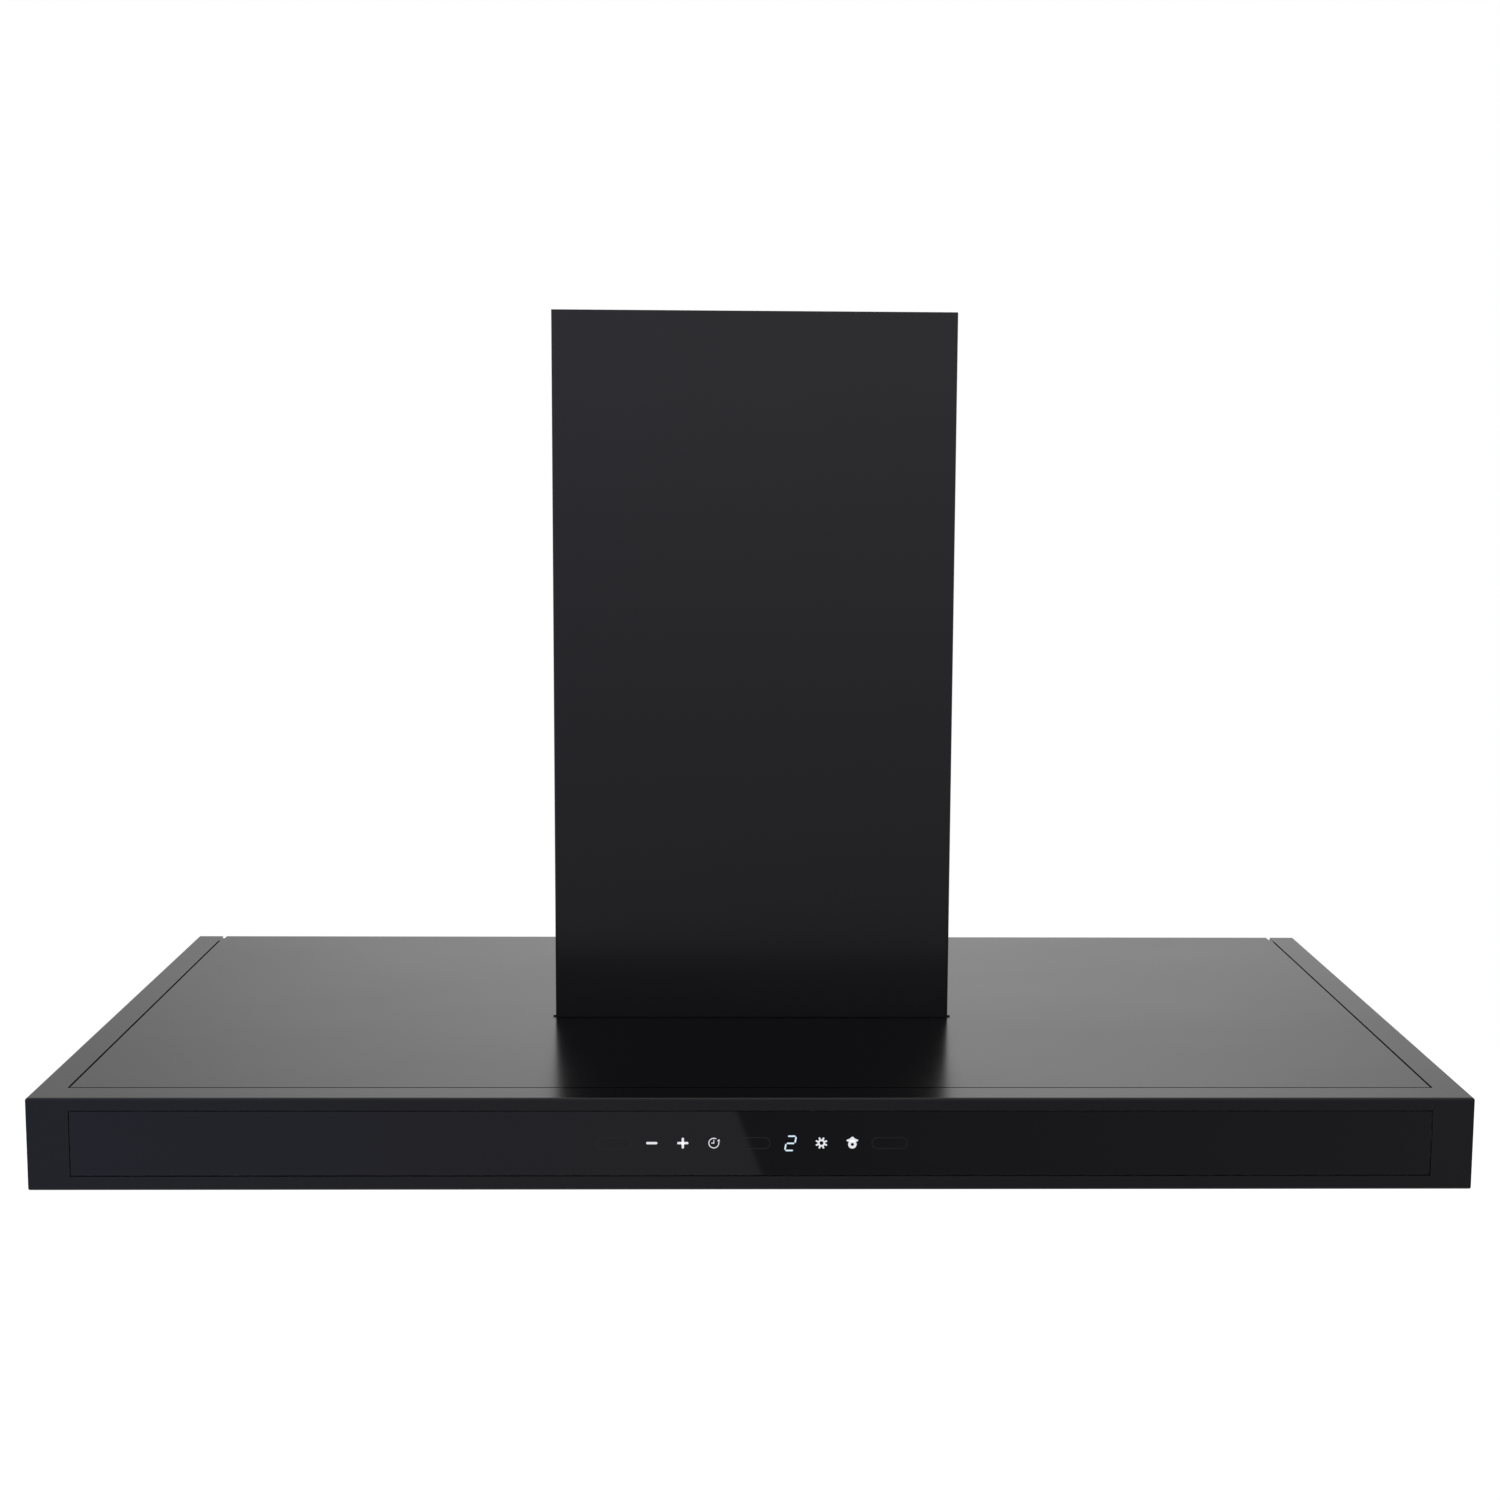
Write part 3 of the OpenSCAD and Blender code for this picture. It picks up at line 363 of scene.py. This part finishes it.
# The ink stops a hair in front of the glass.
SYMBOL_BACK_Y = SYMBOL_FACE_Y + SYMBOL_DEPTH * 0.9
ROW_Z = (BOARD_LOW[2] + BOARD_HIGH[2]) / 2 + 0.2 * MM
DIGIT_X = (DISPLAY_LOW[0] + DISPLAY_HIGH[0]) / 2
KEY_PITCH = 19.6 * MM
# Gaps in the row, in key pitches.
DIGIT_FROM_CLOCK = 2.475
PILL_LEFT_GAP = 1.22
PILL_RIGHT_GAP = 1.2
PILL_SIZE = (23 * MM, 7.8 * MM, 0.7 * MM)
ROUND_STEPS = 40
END_STEPS = 10
# Half the angle, in degrees, of a blade's tip and of its root on the fan symbol.
TIP_HALF_ANGLE = 8
ROOT_HALF_ANGLE = 14
SEGMENT_WIDTH = 0.95 * MM
SEGMENT_GAP = 0.3 * MM


def arc(cx, cz, radius, from_deg, to_deg, steps=ROUND_STEPS):
    """Points along an arc in the plane of the glass."""
    turn = [math.radians(from_deg + (to_deg - from_deg) * i / steps) for i in range(steps + 1)]
    return [(cx + radius * math.cos(a), cz + radius * math.sin(a)) for a in turn]


def bar(x0, z0, x1, z1, width):
    """A stroke between two points, with round ends."""
    heading = math.degrees(math.atan2(z1 - z0, x1 - x0))
    half = width / 2
    far_end = arc(x1, z1, half, heading - 90, heading + 90, END_STEPS)
    return far_end + arc(x0, z0, half, heading + 90, heading + 270, END_STEPS)


def ring(cx, cz, radius, width, from_deg=0, to_deg=360):
    """A band of even width round a centre, open where the angles stop short of a full turn."""
    outer = arc(cx, cz, radius + width / 2, from_deg, to_deg)
    inner = arc(cx, cz, radius - width / 2, from_deg, to_deg)
    return ("band", outer, inner, to_deg - from_deg >= 360)


def pill(cx, cz, length, height, width):
    """The outline of a long round-ended button."""
    reach = length / 2 - height / 2

    def edge(radius):
        right = arc(cx + reach, cz, radius, -90, 90, 2 * END_STEPS)
        left = arc(cx - reach, cz, radius, 90, 270, 2 * END_STEPS)
        points = right + left
        return points + points[:1]

    return ("band", edge(height / 2), edge(height / 2 - width), True)


def symbol(name, shapes, material):
    """One flat piece made of closed prisms that lie on the glass."""
    verts, faces = [], []
    for shape in shapes:
        base = len(verts)
        if shape[0] == "band":
            _, outer, inner, closed = shape
            if closed:
                outer, inner = outer[:-1], inner[:-1]
            n = len(outer)
            for y in (SYMBOL_FACE_Y, SYMBOL_BACK_Y):
                verts += [(x, y, z) for x, z in outer] + [(x, y, z) for x, z in inner]
            o0, i0, o1, i1 = base, base + n, base + 2 * n, base + 3 * n
            for i in range(n if closed else n - 1):
                j = (i + 1) % n
                faces += [
                    (o0 + i, o0 + j, i0 + j, i0 + i),
                    (o1 + j, o1 + i, i1 + i, i1 + j),
                    (o0 + j, o0 + i, o1 + i, o1 + j),
                    (i0 + i, i0 + j, i1 + j, i1 + i),
                ]
            if not closed:
                e = n - 1
                faces += [(o0, i0, i1, o1), (i0 + e, o0 + e, o1 + e, i1 + e)]
        else:
            n = len(shape)
            for y in (SYMBOL_FACE_Y, SYMBOL_BACK_Y):
                verts += [(x, y, z) for x, z in shape]
            faces.append(tuple(range(base, base + n)))
            faces.append(tuple(range(base + 2 * n - 1, base + n - 1, -1)))
            for i in range(n):
                j = (i + 1) % n
                faces.append((base + j, base + i, base + n + i, base + n + j))
    mesh = bpy.data.meshes.new(name)
    mesh.from_pydata(verts, [], faces)
    mesh.validate()
    mesh.materials.append(material)
    piece = bpy.data.objects.new(name, mesh)
    bpy.context.scene.collection.objects.link(piece)
    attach(piece, "hood")


def gear_outline(cx, cz, tip, root, teeth):
    """A closed outline of rounded blades round a hub."""
    points = []
    for i in range(teeth):
        middle = 360 * (i + 0.5) / teeth
        following = middle + 360 / teeth
        points += arc(cx, cz, tip, middle - TIP_HALF_ANGLE, middle + TIP_HALF_ANGLE, 4)
        points += arc(cx, cz, root, middle + ROOT_HALF_ANGLE, following - ROOT_HALF_ANGLE, 2)
    return points


def digit_two(cx, cz, width, height, lean):
    """The figure 2 in slanted display segments."""
    half_w, half_h = width / 2, height / 2

    def at(x, z):
        return cx + x + lean * z, cz + z

    def segment(xa, za, xb, zb):
        (x0, z0), (x1, z1) = at(xa, za), at(xb, zb)
        run = math.hypot(x1 - x0, z1 - z0)
        ux, uz = (x1 - x0) / run, (z1 - z0) / run
        tip = SEGMENT_WIDTH / 2
        px, pz = -uz * tip, ux * tip
        gap, inset = SEGMENT_GAP, SEGMENT_GAP + tip
        return [
            (x0 + ux * gap, z0 + uz * gap),
            (x0 + ux * inset - px, z0 + uz * inset - pz),
            (x1 - ux * inset - px, z1 - uz * inset - pz),
            (x1 - ux * gap, z1 - uz * gap),
            (x1 - ux * inset + px, z1 - uz * inset + pz),
            (x0 + ux * inset + px, z0 + uz * inset + pz),
        ]

    return [
        segment(-half_w, half_h, half_w, half_h),
        segment(half_w, 0, half_w, half_h),
        segment(-half_w, 0, half_w, 0),
        segment(-half_w, -half_h, -half_w, 0),
        segment(-half_w, -half_h, half_w, -half_h),
    ]


def touch_symbols():
    """The row of touch keys, from left to right."""
    white, faint = symbol_white(), symbol_faint()
    z = ROW_Z
    gear_x = DIGIT_X + KEY_PITCH
    lamp_x = gear_x + KEY_PITCH
    clock_x = DIGIT_X - DIGIT_FROM_CLOCK * KEY_PITCH
    plus_x = clock_x - KEY_PITCH
    minus_x = plus_x - KEY_PITCH
    arm, thick = 2.8 * MM, 1.5 * MM
    for name, x in (
        ("symbol_pill_left", minus_x - PILL_LEFT_GAP * KEY_PITCH),
        ("symbol_pill_middle", (clock_x + DIGIT_X) / 2 + 0.2 * MM),
        ("symbol_pill_right", lamp_x + PILL_RIGHT_GAP * KEY_PITCH),
    ):
        symbol(name, [pill(x, z, *PILL_SIZE)], faint)
    symbol("symbol_minus", [bar(minus_x - arm, z, minus_x + arm, z, thick)], white)
    symbol("symbol_plus", [
        bar(plus_x - arm, z, plus_x + arm, z, thick),
        bar(plus_x, z - arm, plus_x, z + arm, thick),
    ], white)
    dial, hand = 3.15 * MM, 0.45 * MM
    symbol("symbol_clock", [
        ring(clock_x, z, dial, 0.55 * MM, 60, 375),
        bar(clock_x, z, clock_x, z + 2.0 * MM, hand),
        bar(clock_x, z, clock_x - 1.5 * MM, z, hand),
        [
            (clock_x + 2.1 * MM, z + 1.3 * MM),
            (clock_x + 3.9 * MM, z + 1.0 * MM),
            (clock_x + 3.3 * MM, z + 2.6 * MM),
        ],
    ], white)
    digit = digit_two(DIGIT_X, z - 0.2 * MM, 5.6 * MM, 9.3 * MM, 0.17)
    symbol("symbol_digit", digit, digit_light())
    outline = gear_outline(gear_x, z, 3.8 * MM, 2.35 * MM, 8)
    hub = 1.25 * MM
    hole = [
        (gear_x + hub * math.cos(t), z + hub * math.sin(t))
        for t in (math.atan2(pz - z, px - gear_x) for px, pz in outline)
    ]
    symbol("symbol_fan", [("band", outline + outline[:1], hole + hole[:1], True)], white)
    right_side = [(0.5, 4.0), (1.7, 2.8), (3.6, 2.1), (3.6, 1.3), (2.6, 0.9)]
    cap = [(-across, rise) for across, rise in reversed(right_side)] + right_side
    symbol("symbol_lamp", [
        [(lamp_x + across * MM, z + rise * MM) for across, rise in reversed(cap)],
        ring(lamp_x, z - 0.9 * MM, 1.85 * MM, 1.7 * MM),
    ], white)


touch_symbols()


# ------------------------------------------------------ studio, camera and end

# The floor: how far below the hood, its side and how far its middle lies behind the wall.
FLOOR_DROP = 2.4
FLOOR_SIZE = 12.0
FLOOR_Y = 3.2
FLOOR_GLOW = 0.42
# Strength of the front wall at eye level and at its foot, and the share left high up.
FRONT_WALL = 0.84
FRONT_FOOT = 0.40
FRONT_SHADE = 0.35
# The dim board: its edge's lean, place and blur, and its strength at the middle and far right.
BOARD_LEAN = 0.39
BOARD_EDGE = -0.107
BOARD_BLUR = 0.0005
BOARD_NEAR = 0.16
BOARD_FAR = 0.27
# Strength of the backdrop at its brightest, where that is, its fall to the sides and its least.
BACKDROP = 0.90
BACKDROP_PEAK = 0.05
BACKDROP_FALL = 3.7
BACKDROP_EDGE = 0.54
CEILING = 0.3
FRONT_TINT = (1, 0.955, 1.08)
FRONT_TINT_LEFT = (0.98, 1.09, 1.5)
# The camera: its place from the canopy's front top edge, its turns, and its lens in mm.
CAMERA_BACK = 1.4798
CAMERA_RISE = 0.4102
CAMERA_X = -0.0165
CAMERA_PITCH = math.radians(7.861)
CAMERA_YAW = math.radians(1.361)
CAMERA_ROLL = math.radians(0.361)
CAMERA_LENS = 57.89
CAMERA_SHIFT = (-0.0244, 0.0167)


def studio_floor():
    """A plain pale floor below the hood."""
    material, s = start("studio_floor")
    grain = s.noise(30, detail=4)
    color = s.blend(grain, (0.86, 0.86, 0.86), (0.9, 0.9, 0.9))
    s.surface(color, s.vary(grain, 0.7, 0.8),
              Emission_Color=(1, 1, 1, 1), Emission_Strength=FLOOR_GLOW)
    half = FLOOR_SIZE / 2
    mesh = bpy.data.meshes.new("studio_floor")
    z = CANOPY_LOW[2] - FLOOR_DROP
    corners = [(-half, -half), (half, -half), (half, half), (-half, half)]
    mesh.from_pydata([(x, y + FLOOR_Y, z) for x, y in corners], [], [(0, 1, 2, 3)])
    mesh.materials.append(material)
    floor = bpy.data.objects.new("studio_floor", mesh)
    bpy.context.scene.collection.objects.link(floor)


def studio_world():
    """A pale room whose light depends on direction; the camera itself sees plain white."""
    world = bpy.data.worlds.new("studio")
    world.use_nodes = True
    bpy.context.scene.world = world
    s = Shader(world.node_tree)
    split = s.add("ShaderNodeSeparateXYZ")
    s.feed(split.inputs[0], s.add("ShaderNodeTexCoord").outputs["Generated"])
    x, y, z = split.outputs
    # Slopes to the side and upward on an upright wall one unit away.
    ahead = s.math("MAXIMUM", s.math("ABSOLUTE", y), 0.02)
    across = s.math("DIVIDE", x, ahead)
    rise = s.math("DIVIDE", z, ahead)
    # The front wall is brightest at eye level and dark above it.
    low_wall = s.spread(rise, -0.12, 0.07, FRONT_FOOT, FRONT_WALL)
    shade = s.spread(rise, 0.1, 0.3, 1, FRONT_SHADE, smooth=True)
    wall = s.math("MULTIPLY", low_wall, shade)
    # A dim board stands low in front, to the right of a leaning edge.
    leaning = s.math("ADD", across, s.math("MULTIPLY", rise, BOARD_LEAN))
    beyond = s.spread(leaning, BOARD_EDGE - BOARD_BLUR, BOARD_EDGE + BOARD_BLUR, 0, 1)
    low = s.spread(rise, -0.265, -0.225, 1, 0, smooth=True)
    dim = s.math("MULTIPLY", beyond, low)
    board = s.math("MULTIPLY", s.spread(across, 0.0, 0.3, BOARD_NEAR, BOARD_FAR), dim)
    front = s.math("ADD", s.math("MULTIPLY", wall, s.math("SUBTRACT", 1, dim)), board)
    # The backdrop falls off to both sides of a point right of the middle.
    aside = s.math("SUBTRACT", across, BACKDROP_PEAK)
    fall = s.math("MULTIPLY", s.math("MULTIPLY", aside, aside), BACKDROP_FALL)
    backdrop = s.math("MAXIMUM", s.math("SUBTRACT", BACKDROP, fall), BACKDROP_EDGE)
    # From the front wall to the backdrop, by way of the sides of the room.
    back = s.spread(y, -0.6, 0.0, 0, 1, smooth=True)
    room = s.math(
        "ADD",
        s.math("MULTIPLY", front, s.math("SUBTRACT", 1, back)),
        s.math("MULTIPLY", back, backdrop),
    )
    above = s.spread(z, 0.3, 0.7, 0, CEILING, smooth=True)
    bluer = s.spread(across, -0.34, -0.05, 1, 0)
    front_tint = s.blend(bluer, FRONT_TINT, FRONT_TINT_LEFT)
    # Only the middle of the front wall is tinted.
    near_middle = s.spread(s.math("ABSOLUTE", across), 0.42, 0.62, 1, 0)
    tinted = s.math("MULTIPLY", near_middle, s.spread(rise, -0.6, -0.4, 0, 1))
    front_tint = s.blend(tinted, (1, 1, 1), front_tint)
    lit = s.add("ShaderNodeBackground")
    s.feed(lit.inputs["Color"], s.blend(back, front_tint, (1, 1, 1)))
    s.feed(lit.inputs["Strength"], s.math("ADD", room, above))
    # What lights the hood is the room; what stands behind it is plain white.
    plain = s.add("ShaderNodeBackground")
    plain.inputs["Color"].default_value = (1, 1, 1, 1)
    plain.inputs["Strength"].default_value = 1.0
    choose = s.add("ShaderNodeMixShader")
    s.feed(choose.inputs[0], s.add("ShaderNodeLightPath").outputs["Is Camera Ray"])
    s.feed(choose.inputs[1], lit.outputs[0])
    s.feed(choose.inputs[2], plain.outputs[0])
    s.feed(s.add("ShaderNodeOutputWorld").inputs["Surface"], choose.outputs[0])


def camera():
    """The camera, in front of the canopy and looking slightly down on it."""
    data = bpy.data.cameras.new("camera")
    data.lens = CAMERA_LENS
    data.shift_x, data.shift_y = CAMERA_SHIFT
    data.clip_end = 60
    ahead = Vector((
        math.sin(CAMERA_YAW) * math.cos(CAMERA_PITCH),
        math.cos(CAMERA_YAW) * math.cos(CAMERA_PITCH),
        -math.sin(CAMERA_PITCH),
    ))
    right = Vector((math.cos(CAMERA_YAW), -math.sin(CAMERA_YAW), 0))
    up = right.cross(ahead)
    tilt_right = right * math.cos(CAMERA_ROLL) + up * math.sin(CAMERA_ROLL)
    tilt_up = up * math.cos(CAMERA_ROLL) - right * math.sin(CAMERA_ROLL)
    turn = Matrix((tilt_right, tilt_up, -ahead)).transposed().to_4x4()
    place = Vector((CAMERA_X, CANOPY_LOW[1] - CAMERA_BACK, CANOPY_HIGH[2] + CAMERA_RISE))
    shot = bpy.data.objects.new("camera", data)
    bpy.context.scene.collection.objects.link(shot)
    shot.matrix_world = Matrix.Translation(place) @ turn
    bpy.context.scene.camera = shot


bpy.context.scene.view_settings.view_transform = "Standard"
studio_floor()
studio_world()
camera()
